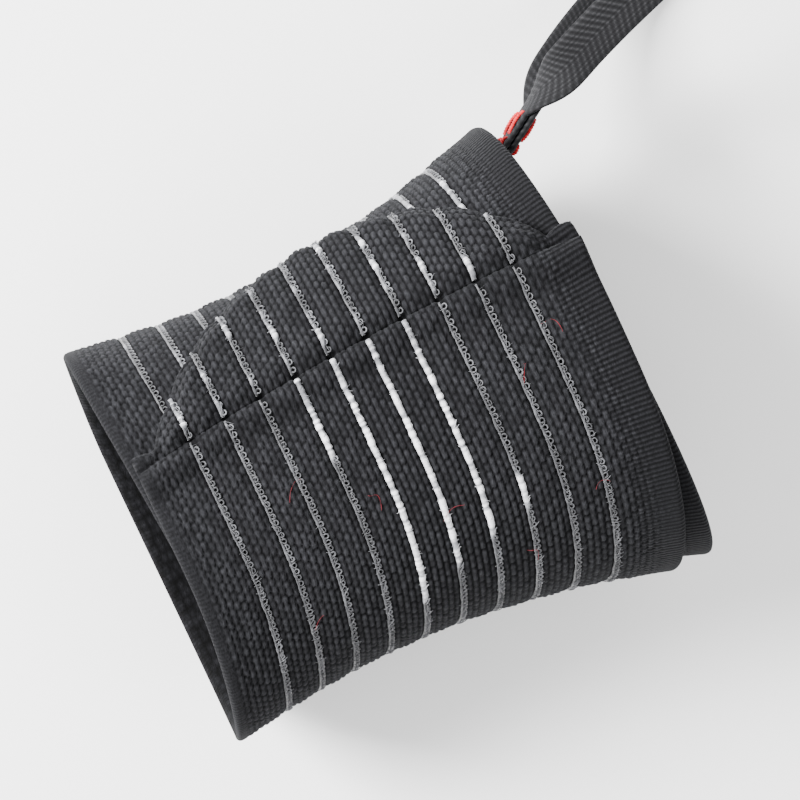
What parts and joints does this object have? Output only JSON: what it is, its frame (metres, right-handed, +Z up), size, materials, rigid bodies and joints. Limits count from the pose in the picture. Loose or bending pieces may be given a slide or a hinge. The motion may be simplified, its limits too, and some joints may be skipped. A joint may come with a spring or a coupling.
{
  "type": "wrist support brace",
  "caption": "Elastic knitted wrist wrap with contrast stripes, wound in two turns and closed by hook tape, with a webbing thumb loop.",
  "frame": {"origin": "middle of the knitted band's width, on the flat that the wrap lies on", "axes": "+X along the arm towards the hand, +Y towards the thumb side where the loop is, +Z up from the surface it lies on towards the broad side with the closure"},
  "size_m": [0.1414, 0.103, 0.0604],
  "materials": {
    "knit": "charcoal black elastic knit, slightly fuzzy",
    "stripe_yarn": "pale grey to white yarn with a faint lustre",
    "hook_tape": "black nylon hooks on woven tape",
    "webbing": "black ribbed webbing",
    "black_thread": "black sewing thread",
    "red_thread": "heavy red thread"
  },
  "bodies": {
    "wound_band": {"inner_turn": "knit", "inner_turn_stripes": "stripe_yarn", "outer_turn_under": "knit", "outer_turn_under_stripes": "stripe_yarn", "inner_end_hem": "knit", "inner_end_stitching": "black_thread", "thumb_loop_tab": "webbing", "thumb_loop_tab_stitches": "red_thread"},
    "outer_turn": {"outer_turn_top": "knit", "outer_turn_top_stripes": "stripe_yarn"},
    "closure": {"closure_end": "knit", "closure_end_stripes": "stripe_yarn", "closure_end_hem": "knit", "hook_tape": "hook_tape", "hook_tape_stitching": "black_thread"},
    "thumb_loop": {"thumb_loop": "webbing", "thumb_loop_stitches": "red_thread"}
  },
  "joints": [
    {"name": "outer_turn_open", "type": "hinge", "parent": "wound_band", "child": "outer_turn", "pos_m": [-0.004, -0.0397, 0.02523], "axis": [0.9951, -0.0597, 0.0784], "range_deg": [0, 120]},
    {"name": "closure_end_peel", "type": "hinge", "parent": "outer_turn", "child": "closure", "pos_m": [0, 0.01689, 0.05408], "axis": [0.9868, 0.0683, 0.1472], "range_deg": [0, 130]},
    {"name": "thumb_loop_swing", "type": "hinge", "parent": "wound_band", "child": "thumb_loop", "pos_m": [0.03948, 0.03437, 0.02263], "axis": [0, 0, 1], "range_deg": [-45, 40]}
  ]
}
